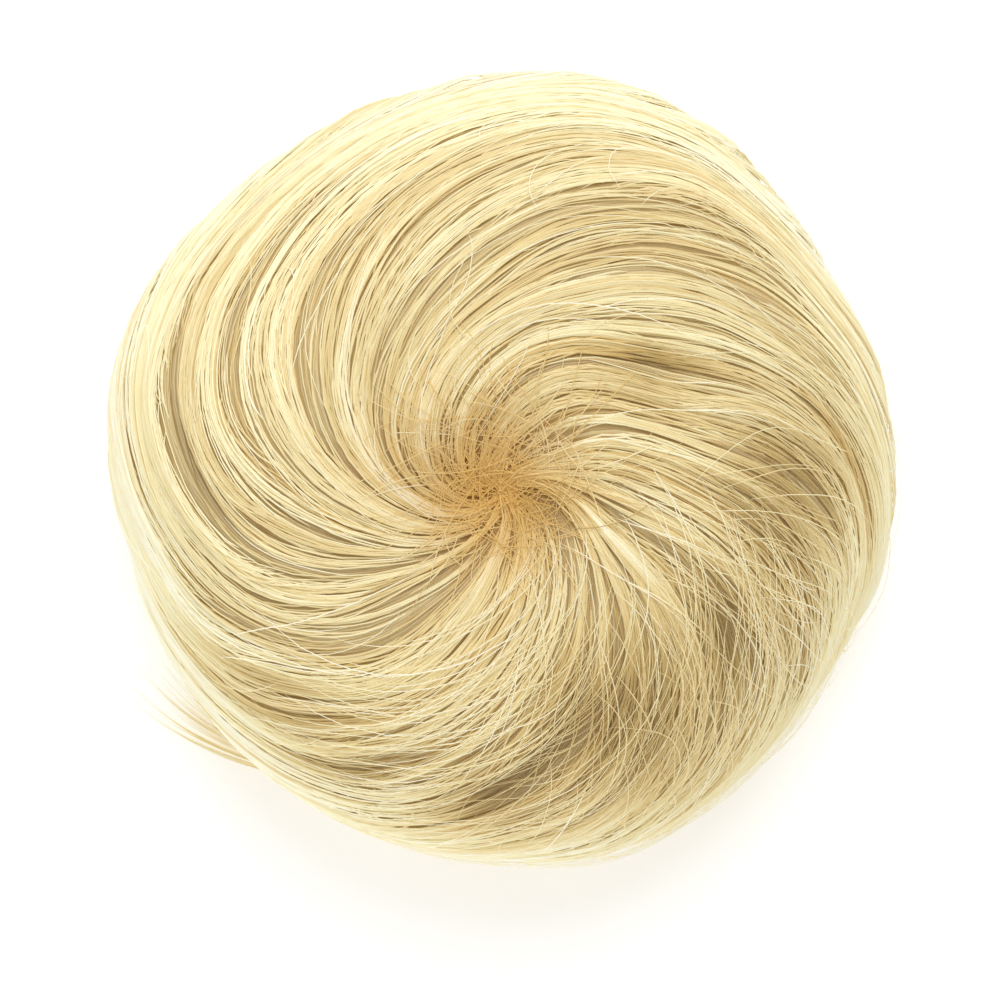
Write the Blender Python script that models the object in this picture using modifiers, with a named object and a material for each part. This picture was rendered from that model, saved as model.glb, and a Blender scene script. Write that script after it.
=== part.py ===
"""Top knot hairpiece: a false bun of combed hair, swirled round an off-centre crown.

The hair is one hollow mass of locks fused to their backing. Every lock starts in the pit at the
crown, turns clockwise as it runs out over the shoulder, passes the rim and tucks in under the
bun. A net cap holds the locks and leaves room for the wearer's own knot, an elastic band edges
its mouth, and a plain comb grips the wearer's hair. One lock has slipped out under the rim.

Metres, +Z up. The bun lies on its mouth, and the origin is under the middle of its outline.
"""
import bisect
import functools
import math

import bmesh
import bpy
from mathutils import Vector

# Outer size of the bun
BUN_WIDTH = 0.111
BUN_HEIGHT = 0.056
CROWN_OFFSET_X = -0.00035
CROWN_OFFSET_Y = -0.0033

# Locks of hair: relief is a share of a lock's own width
LOCK_COUNT = 24
COLUMNS_PER_LOCK = 4
OUTER_ROWS = 28
LOCK_RELIEF_SHARE = 0.15
LOCK_RELIEF_MAX = 0.0013
PIT_TURN = 38.0
UNDER_TURN = 80.0

# Elastic band round the mouth
MOUTH_RADIUS = 0.0312
BAND_THICKNESS = 0.0036
BAND_HEIGHT = 0.0078
BAND_EDGE_ROUND = 0.0009

# Net cap that the locks are sewn to
CAP_WALL = 0.0013
CAP_SIDE_HEIGHT = 0.007
CAP_DOME_HEIGHT = 0.0215
DOME_STEPS = 5

# Comb inside the mouth
COMB_WIDTH = 0.026
COMB_SPINE_HEIGHT = 0.0042
COMB_TOOTH_LENGTH = 0.0135
COMB_TOOTH_WIDTH = 0.0014
COMB_TOOTH_COUNT = 8
COMB_THICKNESS = 0.0012
COMB_LIFT = 0.0022
COMB_DIRECTION = 90.0
COMB_ROWS = 4

# Lock that has slipped out
LOOSE_LOCK_RADIUS = 0.0013
LOOSE_LOCK_TIP_RADIUS = 0.0003
LOOSE_LOCK_SEAT_GAP = 0.0005
LOOSE_LOCK_STEPS = 20

# Clearances between pieces, the weld of doubled points, and the facets of turned pieces
SEAM_GAP = 0.0003
LINING_GAP = 0.0005
WELD = 0.000002
TURNED_STEPS = 36

# Outline of the bun from above, every 15 degrees from +X: share of half the width
OUTLINE = (
    0.998, 0.988, 0.967, 0.985, 1.016, 1.021, 1.000, 0.980, 0.972, 0.980, 1.006, 1.016,
    0.993, 0.967, 0.970, 0.975, 0.980, 0.990, 0.993, 1.011, 0.995, 0.980, 0.975, 0.995,
)
# How full the shoulder is, every 30 degrees from +X: share of the height
FULLNESS = (-0.012, 0.0, 0.012, 0.016, 0.02, 0.024, 0.016, 0.006, 0.0, -0.02, -0.036, -0.028)

# Rings that every lock crosses, from the pit at the crown to the tuck at the band. Down to the
# equator, reach is the share of the way from the middle to the outline, and below it the share
# from the band to the outline. rise is a share of the height. relief is how strongly the locks
# stand out.
RING_COLUMNS = ("reach", "rise", "relief")
RINGS = {
    "pit": (0.00, 0.820, 0.3),
    "lip": (0.12, 0.880, 0.5),
    "crown": (0.30, 0.980, 0.8),
    "top": (0.50, 0.970, 1.0),
    "shoulder": (0.70, 0.860, 1.0),
    "rim": (0.87, 0.665, 0.75),
    "edge": (0.97, 0.450, 0.5),
    "equator": (1.00, 0.290, 0.4),
    "curl": (0.80, 0.095, 0.4),
    "foot": (0.44, 0.026, 0.3),
    "tuck": (0.10, 0.070, 0.2),
}
RING_NAMES = tuple(RINGS)

# How far a lock has turned from where it crosses the top ring, in degrees anticlockwise, for
# the locks that cross it every 30 degrees from +X
TURN_COLUMNS = ("lip", "crown", "shoulder", "rim", "edge")
TURNS = (
    (33, 17, -12, -23, -37),
    (82, 37, -16, -33, -56),
    (105, 48, -26, -50, -70),
    (105, 52, -30, -54, -86),
    (86, 42, -38, -70, -101),
    (68, 30, -30, -78, -115),
    (52, 21, -26, -74, -130),
    (38, 13, -14, -42, -94),
    (31, 12, -17, -35, -58),
    (56, 22, -17, -34, -64),
    (60, 22, -19, -39, -56),
    (42, 10, -12, -27, -50),
)

# Deep folds between locks: where the fold crosses the top ring in degrees from +X, its width
# there in degrees, the reaches it starts and ends at, and its depth as a share of the height
FOLD_COLUMNS = ("direction", "width", "start", "end", "depth")
FOLDS = (
    (20, 10, 0.18, 0.60, 0.010),
    (38, 10, 0.22, 0.80, 0.016),
    (44, 16, 0.78, 1.00, 0.016),
    (96, 14, 0.50, 0.92, 0.010),
    (152, 14, 0.55, 0.95, 0.010),
    (204, 9, 0.60, 0.99, 0.036),
    (246, 12, 0.62, 0.96, 0.014),
    (272, 12, 0.60, 0.98, 0.020),
    (296, 16, 0.48, 0.94, 0.028),
    (338, 14, 0.52, 0.90, 0.014),
)

# Course of the loose lock: share of half the width, degrees from +X, share of full thickness
LOOSE_LOCK_COURSE = (
    (0.900, 246, 0.75),
    (0.925, 239, 1.0),
    (0.965, 232, 0.95),
    (1.010, 225, 0.8),
    (1.050, 218, 0.6),
    (1.080, 211.5, 0.3),
)


def smooth_through(knots, values, x):
    """A smooth curve through the values that never runs past them between two knots."""
    last = len(knots) - 1
    i = min(max(bisect.bisect_right(knots, x) - 1, 0), last - 1)

    def rate(k):
        return (values[k + 1] - values[k]) / (knots[k + 1] - knots[k])

    def slope(k):
        if k in (0, last):
            return rate(min(k, last - 1))
        before, after = rate(k - 1), rate(k)
        if before * after <= 0:
            return 0.0
        return 2 * before * after / (before + after)

    span = knots[i + 1] - knots[i]
    t = (x - knots[i]) / span
    rise = values[i + 1] - values[i]
    start, end = slope(i) * span, slope(i + 1) * span
    return values[i] + t * (start + t * (3 * rise - 2 * start - end + t * (start + end - 2 * rise)))


def round_the_clock(values, degrees, full_turn=0.0):
    """Reads a table of evenly spaced directions. full_turn is what one round adds to it."""
    count = len(values)
    step = 360 / count
    turns, rest = divmod(degrees, 360)
    knots = [step * k for k in range(-2, count + 3)]
    rows = [values[k % count] + full_turn * (k // count) for k in range(-2, count + 3)]
    return smooth_through(knots, rows, rest) + full_turn * turns


def ring_column(name):
    """One column of the ring table, in the order of the rings."""
    place = RING_COLUMNS.index(name)
    return [row[place] for row in RINGS.values()]


def band_outside():
    """Radius at which the hair meets the elastic band."""
    return MOUTH_RADIUS + BAND_THICKNESS + LINING_GAP


def reach_to_radius(reach, outline, under):
    """Radius of a ring of this reach, where the outline is this far out."""
    inner = band_outside() if under else 0.0
    return inner + (outline - inner) * reach


EQUATOR = RING_NAMES.index("equator")
EDGE = RING_NAMES.index("edge")
REACH, RISE, RELIEF = (ring_column(name) for name in RING_COLUMNS)


def ring_places():
    """Where the rings lie along a lock, by their distance down the bun's side, from 0 to 1."""
    half = BUN_WIDTH / 2
    spots = [
        (reach_to_radius(REACH[k], half, k > EQUATOR), RISE[k] * BUN_HEIGHT)
        for k in range(len(RINGS))
    ]
    places = [0.0]
    for before, after in zip(spots, spots[1:]):
        places.append(places[-1] + math.dist(before, after))
    return [place / places[-1] for place in places]


PLACES = ring_places()


def turn_at(ring, label):
    """Direction in which the lock that crosses the top ring at label crosses another ring."""
    column = TURN_COLUMNS.index(ring)
    step = 360 / len(TURNS)
    directions = [k * step + row[column] for k, row in enumerate(TURNS)]
    return round_the_clock(directions, label, 360)


def spread_of(label):
    """A lock's place in the round, from 0 to 360, in which the top and the edge count equally."""
    return (label + turn_at("edge", label) - turn_at("edge", 0)) / 2


@functools.lru_cache(maxsize=None)
def label_at(spread):
    """The lock at this place in the round, by where it crosses the top ring."""
    turns, rest = divmod(spread, 360)
    low, high = 0.0, 360.0
    for _ in range(30):
        middle = (low + high) / 2
        if spread_of(middle) < rest:
            low = middle
        else:
            high = middle
    return low + 360 * turns


@functools.lru_cache(maxsize=None)
def directions_of(label):
    """Direction in degrees in which one lock crosses each ring."""
    edge = turn_at("edge", label)
    tuck = spread_of(label) + turn_at("edge", 0) - UNDER_TURN
    found = []
    for k, name in enumerate(RING_NAMES):
        if name == "pit":
            found.append(turn_at("lip", label) + PIT_TURN)
        elif name == "top":
            found.append(label)
        elif name in TURN_COLUMNS:
            found.append(turn_at(name, label))
        else:
            share = (PLACES[k] - PLACES[EDGE]) / (1 - PLACES[EDGE])
            found.append(edge + (tuck - edge) * share)
    return found


def section_at(direction, place):
    """Radius and height of the bun's side in this direction, before the locks stand out."""
    outline = BUN_WIDTH / 2 * round_the_clock(OUTLINE, direction)
    fullness = BUN_HEIGHT * round_the_clock(FULLNESS, direction)
    swell = math.sin(math.pi * min(place / PLACES[EDGE], 1.0)) ** 2
    radius = reach_to_radius(smooth_through(PLACES, REACH, place), outline, place > PLACES[EQUATOR])
    return radius, BUN_HEIGHT * smooth_through(PLACES, RISE, place) + fullness * swell


def unrelieved(label, place):
    """A point of the hair before its locks stand out."""
    direction = smooth_through(PLACES, directions_of(label), place)
    radius, height = section_at(direction, place)
    reach = smooth_through(PLACES, REACH, place)
    pull = 1 - reach * reach if place < PLACES[EQUATOR] else 0.0
    angle = math.radians(direction)
    return Vector((
        CROWN_OFFSET_X * pull + radius * math.cos(angle),
        CROWN_OFFSET_Y * pull + radius * math.sin(angle),
        height,
    ))


def fold_depth(label, place):
    """How deep the named folds cut in at this point."""
    depth = 0.0
    over = place < PLACES[EQUATOR]
    reach = smooth_through(PLACES, REACH, place) if over else 1.0
    for direction, width, start, end, share in FOLDS:
        off = abs((label - direction + 180) % 360 - 180) / (width / 2)
        along = (reach - start) / (end - start)
        if off >= 1 or not 0 < along < 1:
            continue
        depth += share * BUN_HEIGHT * (math.cos(math.pi / 2 * off) * math.sin(math.pi * along)) ** 2
    return depth


def hair_point(spread, place):
    """A point of the combed surface: a rounded lock, with a crease on either side of it."""
    label = label_at(spread)
    point = unrelieved(label, place)
    half_lock, step = 180 / LOCK_COUNT, 0.5 / OUTER_ROWS
    across = unrelieved(label_at(spread + half_lock), place) - unrelieved(label_at(spread - half_lock), place)
    along = unrelieved(label, min(place + step, 1)) - unrelieved(label, max(place - step, 0))
    along.normalize()
    across -= along * across.dot(along)
    outwards = along.cross(across).normalized()
    if across.length < WELD:
        return point

    number, part = divmod(spread % 360, 2 * half_lock)
    crest = math.sin(math.pi * (part / (2 * half_lock)) ** 0.8) ** 0.7 - 0.6
    strength = LOCK_RELIEF_SHARE * smooth_through(PLACES, RELIEF, place) * (0.85 + 0.15 * math.sin(2.4 * number))
    relief = min(strength * across.length, LOCK_RELIEF_MAX) * crest
    return point + outwards * (relief - fold_depth(label, place))


def row_places(rows):
    """Places of the rows of points, in even steps along the lock that turns furthest."""
    fine = 8 * rows
    label = 360 / len(TURNS) * min(range(len(TURNS)), key=lambda k: TURNS[k][-1])
    course = [unrelieved(label, k / fine) for k in range(fine + 1)]
    lengths = [0.0]
    for before, after in zip(course, course[1:]):
        lengths.append(lengths[-1] + (after - before).length)
    steps = [k / fine for k in range(fine + 1)]
    return [smooth_through(lengths, steps, lengths[-1] * k / rows) for k in range(rows + 1)]


def underside_height(direction, radius):
    """Height of the hair above a point of the floor under the rim."""
    low, high = PLACES[EQUATOR], PLACES[RING_NAMES.index("foot")]
    for _ in range(30):
        middle = (low + high) / 2
        if section_at(direction, middle)[0] > radius:
            low = middle
        else:
            high = middle
    return section_at(direction, low)[1]


def dome(radius, foot, height):
    """Profile of a dome on a straight side, from its mouth to its top."""
    course = [(radius, foot)]
    for k in range(DOME_STEPS):
        lift = math.radians(90 * k / DOME_STEPS)
        course.append((radius * math.cos(lift), foot + CAP_SIDE_HEIGHT + height * math.sin(lift)))
    course.append((0.0, foot + CAP_SIDE_HEIGHT + height))
    return course


def cap_outside(gap=0.0):
    """Profile of the cap's outside, or of a wall this far clear of it."""
    middle = MOUTH_RADIUS + BAND_THICKNESS / 2
    return dome(middle + CAP_WALL / 2 + gap, BAND_HEIGHT + SEAM_GAP, CAP_DOME_HEIGHT + gap)


def collection_for(name):
    """A new collection of the scene."""
    made = bpy.data.collections.new(name)
    bpy.context.scene.collection.children.link(made)
    return made


def material(name, colour, roughness):
    """A plain finish."""
    made = bpy.data.materials.new(name)
    made.use_nodes = True
    shader = made.node_tree.nodes["Principled BSDF"]
    shader.inputs["Base Color"].default_value = (*colour, 1)
    shader.inputs["Roughness"].default_value = roughness
    shader.inputs["Metallic"].default_value = 0.0
    return made


def add_piece(name, mesh, finish, into, smooth_below=50):
    """Links a finished mesh under its name, with its material and smooth shading."""
    piece = bpy.data.objects.new(name, mesh)
    into.objects.link(piece)
    mesh.materials.clear()
    mesh.materials.append(finish)
    mesh.shade_smooth()
    mesh.set_sharp_from_angle(angle=math.radians(smooth_below))
    return piece


def helper_object(name, data):
    """An object in the scene that only lends its evaluated shape."""
    helper = bpy.data.objects.new(name, data)
    bpy.context.scene.collection.objects.link(helper)
    return helper


def weld(edit):
    """Joins doubled points and turns all faces outwards."""
    bmesh.ops.remove_doubles(edit, verts=edit.verts, dist=WELD)
    bmesh.ops.recalc_face_normals(edit, faces=edit.faces)


def mesh_of(helper):
    """The evaluated mesh of a helper object, welded. The helper is removed."""
    graph = bpy.context.evaluated_depsgraph_get()
    mesh = bpy.data.meshes.new_from_object(helper.evaluated_get(graph))
    bpy.data.objects.remove(helper)
    edit = bmesh.new()
    edit.from_mesh(mesh)
    weld(edit)
    edit.to_mesh(mesh)
    edit.free()
    return mesh


def turned(name, profile, closed):
    """A profile of radius and height pairs, turned about the upright axis."""
    mesh = bpy.data.meshes.new(name)
    edges = [(k, k + 1) for k in range(len(profile) - 1)]
    if closed:
        edges.append((len(profile) - 1, 0))
    mesh.from_pydata([(radius, 0, height) for radius, height in profile], edges, [])
    helper = helper_object(name, mesh)
    turn = helper.modifiers.new("turn", "SCREW")
    turn.steps = turn.render_steps = TURNED_STEPS
    turn.use_merge_vertices = True
    turn.merge_threshold = 0.00001
    return mesh_of(helper)


def build_hair(finish, into):
    """The swirl: a grid whose columns follow the locks, from the pit out, under and back inside."""
    inside = [(band_outside(), BAND_HEIGHT / 2)]
    inside += cap_outside(LINING_GAP + (BAND_THICKNESS - CAP_WALL) / 2)[:1]
    inside += cap_outside(LINING_GAP)[1:]
    columns = LOCK_COUNT * COLUMNS_PER_LOCK
    rows = OUTER_ROWS + len(inside)
    places = row_places(OUTER_ROWS)

    edit = bmesh.new()
    bmesh.ops.create_grid(edit, x_segments=columns, y_segments=rows, size=0.5)
    for vertex in edit.verts:
        spread = 360 * round((vertex.co.x + 0.5) * columns) / columns
        row = round((vertex.co.y + 0.5) * rows)
        if row <= OUTER_ROWS:
            vertex.co = hair_point(spread, places[row])
        else:
            radius, height = inside[row - OUTER_ROWS - 1]
            angle = math.radians(directions_of(label_at(spread))[-1])
            vertex.co = (radius * math.cos(angle), radius * math.sin(angle), height)
    weld(edit)
    mesh = bpy.data.meshes.new("hair_swirl")
    edit.to_mesh(mesh)
    edit.free()
    return add_piece("hair_swirl", mesh, finish, into)


def build_loose_lock(finish, into):
    """The slipped lock: a tapering tube that leaves the hair's underside and lies on the floor."""
    curve = bpy.data.curves.new("loose_lock", "CURVE")
    curve.dimensions = "3D"
    curve.bevel_depth = LOOSE_LOCK_RADIUS
    curve.bevel_resolution = 2
    curve.use_fill_caps = True
    spline = curve.splines.new("POLY")
    spline.points.add(LOOSE_LOCK_STEPS)
    reaches, directions, girths = zip(*LOOSE_LOCK_COURSE)
    knots = range(len(LOOSE_LOCK_COURSE))
    root_height = None
    for k, point in enumerate(spline.points):
        share = k / LOOSE_LOCK_STEPS
        at = share * knots[-1]
        direction = smooth_through(knots, directions, at)
        radius = BUN_WIDTH / 2 * smooth_through(knots, reaches, at)
        girth = smooth_through(knots, girths, at)
        thick = LOOSE_LOCK_TIP_RADIUS + (LOOSE_LOCK_RADIUS - LOOSE_LOCK_TIP_RADIUS) * girth
        lowest = thick + SEAM_GAP
        if root_height is None:
            root_height = underside_height(direction, radius) - LOOSE_LOCK_SEAT_GAP - thick
        height = lowest + (max(root_height, lowest) - lowest) * max(1 - 2.5 * share, 0) ** 2
        angle = math.radians(direction)
        point.co = (radius * math.cos(angle), radius * math.sin(angle), height, 1)
        point.radius = thick / LOOSE_LOCK_RADIUS
    return add_piece("loose_lock", mesh_of(helper_object("loose_lock", curve)), finish, into)


def build_cap(finish, into):
    """The net cap: a turned dome with an even wall and an open mouth."""
    outside = cap_outside()
    radius, foot = outside[0]
    inside = dome(radius - CAP_WALL, foot, CAP_DOME_HEIGHT - CAP_WALL)
    mesh = turned("net_cap", outside[::-1] + inside, closed=False)
    return add_piece("net_cap", mesh, finish, into)


def build_band(finish, into):
    """The elastic band: a ring with a flat underside, which the bun rests on."""
    inner, outer, edge = MOUTH_RADIUS, MOUTH_RADIUS + BAND_THICKNESS, BAND_EDGE_ROUND
    top = BAND_HEIGHT
    profile = [(outer - edge, top), (outer, top - edge), (outer, edge), (outer - edge, 0)]
    profile += [(inner + edge, 0), (inner, edge), (inner, top - edge), (inner + edge, top)]
    return add_piece("elastic_band", turned("elastic_band", profile, closed=True), finish, into, 30)


def build_comb(finish, into):
    """The comb: a flat grid with the gaps between the teeth taken out, bent round inside the band."""
    pitch = (COMB_WIDTH - COMB_TOOTH_WIDTH) / (COMB_TOOTH_COUNT - 1)
    sides = []
    for k in range(COMB_TOOTH_COUNT):
        left = pitch * k - COMB_WIDTH / 2
        sides += [left, left + COMB_TOOTH_WIDTH]
    heights = [0.0, COMB_SPINE_HEIGHT]
    heights += [COMB_SPINE_HEIGHT + COMB_TOOTH_LENGTH * (k + 1) / COMB_ROWS for k in range(COMB_ROWS)]
    columns, rows = len(sides) - 1, len(heights) - 1

    edit = bmesh.new()
    bmesh.ops.create_grid(edit, x_segments=columns, y_segments=rows, size=0.5)
    gaps = []
    for face in edit.faces:
        middle = face.calc_center_median()
        column, row = int((middle.x + 0.5) * columns), int((middle.y + 0.5) * rows)
        if column % 2 and row > 0:
            gaps.append(face)
    bmesh.ops.delete(edit, geom=gaps, context="FACES")

    wall = MOUTH_RADIUS - SEAM_GAP - COMB_THICKNESS / 2
    shoulder = BAND_HEIGHT + SEAM_GAP + CAP_SIDE_HEIGHT
    for vertex in edit.verts:
        column, row = round((vertex.co.x + 0.5) * columns), round((vertex.co.y + 0.5) * rows)
        across = sides[column]
        if row == rows:
            across += COMB_TOOTH_WIDTH / 4 * (1 if column % 2 == 0 else -1)
        height = COMB_LIFT + heights[row]
        lean = max(height - shoulder, 0.0)
        radius = wall - lean * lean / (2 * CAP_DOME_HEIGHT)
        angle = math.radians(COMB_DIRECTION) - across / wall
        vertex.co = (radius * math.cos(angle), radius * math.sin(angle), height)
    mesh = bpy.data.meshes.new("grip_comb")
    edit.to_mesh(mesh)
    edit.free()
    helper = helper_object("grip_comb", mesh)
    thicken = helper.modifiers.new("thicken", "SOLIDIFY")
    thicken.thickness = COMB_THICKNESS
    thicken.offset = 0.0
    return add_piece("grip_comb", mesh_of(helper), finish, into, 30)


def stand_on_origin(pieces):
    """Moves the pieces so that the middle of their base is at the origin."""
    corners = [vertex.co for piece in pieces for vertex in piece.data.vertices]
    low = Vector(min(corner[k] for corner in corners) for k in range(3))
    high = Vector(max(corner[k] for corner in corners) for k in range(3))
    for piece in pieces:
        piece.location = (-(low.x + high.x) / 2, -(low.y + high.y) / 2, -low.z)


def main():
    for old in list(bpy.data.objects):
        bpy.data.objects.remove(old)
    into = collection_for("top_knot_hairpiece")
    hair = material("blonde_hair", (0.80, 0.64, 0.34), 0.45)
    net = material("beige_net", (0.62, 0.47, 0.30), 0.85)
    elastic = material("beige_elastic", (0.70, 0.56, 0.38), 0.75)
    plastic = material("brown_plastic", (0.36, 0.22, 0.10), 0.3)
    stand_on_origin([
        build_hair(hair, into),
        build_loose_lock(hair, into),
        build_cap(net, into),
        build_band(elastic, into),
        build_comb(plastic, into),
    ])


main()
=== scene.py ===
# Top knot hairpiece: a blonde bun lying on its mouth, seen from straight above.
# Lengths in metres, directions in degrees anticlockwise from +X.
import math

import bpy
import numpy as np
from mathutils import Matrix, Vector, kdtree


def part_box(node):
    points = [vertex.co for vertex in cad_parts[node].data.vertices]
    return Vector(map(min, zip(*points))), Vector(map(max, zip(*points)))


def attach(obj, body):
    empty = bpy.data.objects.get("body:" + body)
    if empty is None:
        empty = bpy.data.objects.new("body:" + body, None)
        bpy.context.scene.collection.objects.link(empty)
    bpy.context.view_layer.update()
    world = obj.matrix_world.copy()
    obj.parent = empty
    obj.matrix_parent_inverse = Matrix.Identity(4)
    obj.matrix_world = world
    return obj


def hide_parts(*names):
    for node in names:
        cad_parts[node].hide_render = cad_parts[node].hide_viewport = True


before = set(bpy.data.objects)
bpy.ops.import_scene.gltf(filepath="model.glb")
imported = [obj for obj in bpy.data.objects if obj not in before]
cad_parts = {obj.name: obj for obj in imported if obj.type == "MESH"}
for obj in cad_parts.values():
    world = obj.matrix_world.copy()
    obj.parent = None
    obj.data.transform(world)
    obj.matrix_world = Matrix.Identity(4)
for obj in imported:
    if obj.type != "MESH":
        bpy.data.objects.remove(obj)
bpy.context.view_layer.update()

bandLow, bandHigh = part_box("elastic_band")
capLow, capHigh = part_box("net_cap")

# The form of the bun, the same as the part's but for lower locks. reach is the share of the way
# out to the outline, counted from the middle down to the equator and from the band below it.
bun = {
    "axis": np.array([(bandLow[0] + bandHigh[0]) / 2, (bandLow[1] + bandHigh[1]) / 2, 0.0]),
    "halfWidth": 0.0555,
    "height": 0.056,
    "crown": (-0.00035, -0.0033),
    "locks": 24,
    "lockRelief": 0.12,
    "lockReliefMax": 0.0011,
    "pitTurn": 38.0,
    "underTurn": 80.0,
    "gap": 0.0005,
    "bandRadius": (bandHigh[0] - bandLow[0]) / 2,
    "outline": (  # every 15 degrees
        0.998, 0.988, 0.967, 0.985, 1.016, 1.021, 1.000, 0.980, 0.972, 0.980, 1.006, 1.016,
        0.993, 0.967, 0.970, 0.975, 0.980, 0.990, 0.993, 1.011, 0.995, 0.980, 0.975, 0.995,
    ),
    "fullness": (-0.012, 0.0, 0.012, 0.016, 0.02, 0.024, 0.016, 0.006, 0.0, -0.02, -0.036, -0.028),
    "rings": ("pit", "lip", "crown", "top", "shoulder", "rim", "edge", "equator", "curl", "foot", "tuck"),
    "reach": (0.00, 0.12, 0.30, 0.50, 0.70, 0.87, 0.97, 1.00, 0.80, 0.44, 0.10),
    "rise": (0.820, 0.880, 0.980, 0.970, 0.860, 0.665, 0.450, 0.290, 0.095, 0.026, 0.070),
    "relief": (0.3, 0.5, 0.8, 1.0, 1.0, 0.75, 0.5, 0.4, 0.4, 0.3, 0.2),
    "turned": ("lip", "crown", "shoulder", "rim", "edge"),
    "turns": (  # for the locks that cross the top ring every 30 degrees
        (33, 17, -12, -23, -37),
        (82, 37, -16, -33, -56),
        (105, 48, -26, -50, -70),
        (105, 52, -30, -54, -86),
        (86, 42, -38, -70, -101),
        (68, 30, -30, -78, -115),
        (52, 21, -26, -74, -130),
        (38, 13, -14, -42, -94),
        (31, 12, -17, -35, -58),
        (56, 22, -17, -34, -64),
        (60, 22, -19, -39, -56),
        (42, 10, -12, -27, -50),
    ),
    "folds": (  # direction at the top ring, width, reach at start and end, depth
        (20, 10, 0.18, 0.60, 0.010),
        (38, 10, 0.22, 0.80, 0.016),
        (44, 16, 0.78, 1.00, 0.016),
        (96, 14, 0.50, 0.92, 0.010),
        (152, 14, 0.55, 0.95, 0.010),
        (204, 9, 0.60, 0.99, 0.036),
        (246, 12, 0.62, 0.96, 0.014),
        (272, 12, 0.60, 0.98, 0.020),
        (296, 16, 0.48, 0.94, 0.028),
        (338, 14, 0.52, 0.90, 0.014),
    ),
    "gridColumns": 1440,
    "gridRows": 241,
    "bakeMap": "OFBake",
}


def smoothThrough(knots, values, x):  # a curve that never runs past two neighbouring values
    knots, values, x = np.asarray(knots, float), np.asarray(values, float), np.asarray(x, float)
    spans = np.diff(knots)
    rates = np.diff(values, axis=0) / spans.reshape((-1,) + (1,) * (values.ndim - 1))
    product, total = rates[:-1] * rates[1:], rates[:-1] + rates[1:]
    inner = np.where(product > 0, 2 * product / np.where(total == 0, 1, total), 0)
    slopes = np.concatenate([rates[:1], inner, rates[-1:]])
    i = np.clip(np.searchsorted(knots, x, side="right") - 1, 0, len(spans) - 1)
    further = (1,) * (values.ndim - 1)
    span = spans[i].reshape(x.shape + further)
    t = ((x - knots[i]) / spans[i]).reshape(x.shape + further)
    rise = values[i + 1] - values[i]
    start, end = slopes[i] * span, slopes[i + 1] * span
    return values[i] + t * (start + t * (3 * rise - 2 * start - end + t * (start + end - 2 * rise)))


def aroundTable(values, degrees, fullTurn=0.0):
    count = len(values)
    turns = np.floor(np.asarray(degrees, float) / 360)
    knots = [360 / count * k for k in range(-2, count + 3)]
    rows = [values[k % count] + fullTurn * (k // count) for k in range(-2, count + 3)]
    return smoothThrough(knots, rows, degrees - 360 * turns) + fullTurn * turns


def reachToRadius(reach, outline, under):
    inner = np.where(under, bun["bandRadius"] + bun["gap"], 0.0)
    return inner + (outline - inner) * reach


ringCount = len(bun["rings"])
equator, edge = bun["rings"].index("equator"), bun["rings"].index("edge")
ringRadii = reachToRadius(np.array(bun["reach"]), bun["halfWidth"], np.arange(ringCount) > equator)
ringSteps = np.hypot(np.diff(ringRadii), np.diff(bun["rise"]) * bun["height"])
ringPlaces = np.concatenate([[0], np.cumsum(ringSteps)]) / ringSteps.sum()


def turnAt(ring, labels):
    column = bun["turned"].index(ring)
    step = 360 / len(bun["turns"])
    return aroundTable([k * step + row[column] for k, row in enumerate(bun["turns"])], labels, 360)


def spreadOf(labels):
    return (labels + turnAt("edge", labels) - turnAt("edge", 0.0)) / 2


def ringDirections(spreads, labels):
    edgeTurn = turnAt("edge", labels)
    tuck = spreads + turnAt("edge", 0.0) - bun["underTurn"]
    found = []
    for k, name in enumerate(bun["rings"]):
        if name == "pit":
            found.append(turnAt("lip", labels) + bun["pitTurn"])
        elif name == "top":
            found.append(labels)
        elif name in bun["turned"]:
            found.append(turnAt(name, labels))
        else:
            share = (ringPlaces[k] - ringPlaces[edge]) / (1 - ringPlaces[edge])
            found.append(edgeTurn + (tuck - edgeTurn) * share)
    return np.array(found)


def crossed(a, b):
    return np.stack([a[..., 1] * b[..., 2] - a[..., 2] * b[..., 1],
                     a[..., 2] * b[..., 0] - a[..., 0] * b[..., 2],
                     a[..., 0] * b[..., 1] - a[..., 1] * b[..., 0]], axis=-1)


def unit(vectors):
    return vectors / np.maximum(np.linalg.norm(vectors, axis=-1, keepdims=True), 1e-12)


def ringOf(radius, height, angle):  # points round the axis
    return np.stack([radius * np.cos(angle), radius * np.sin(angle), height + 0 * angle], axis=-1)


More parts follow.
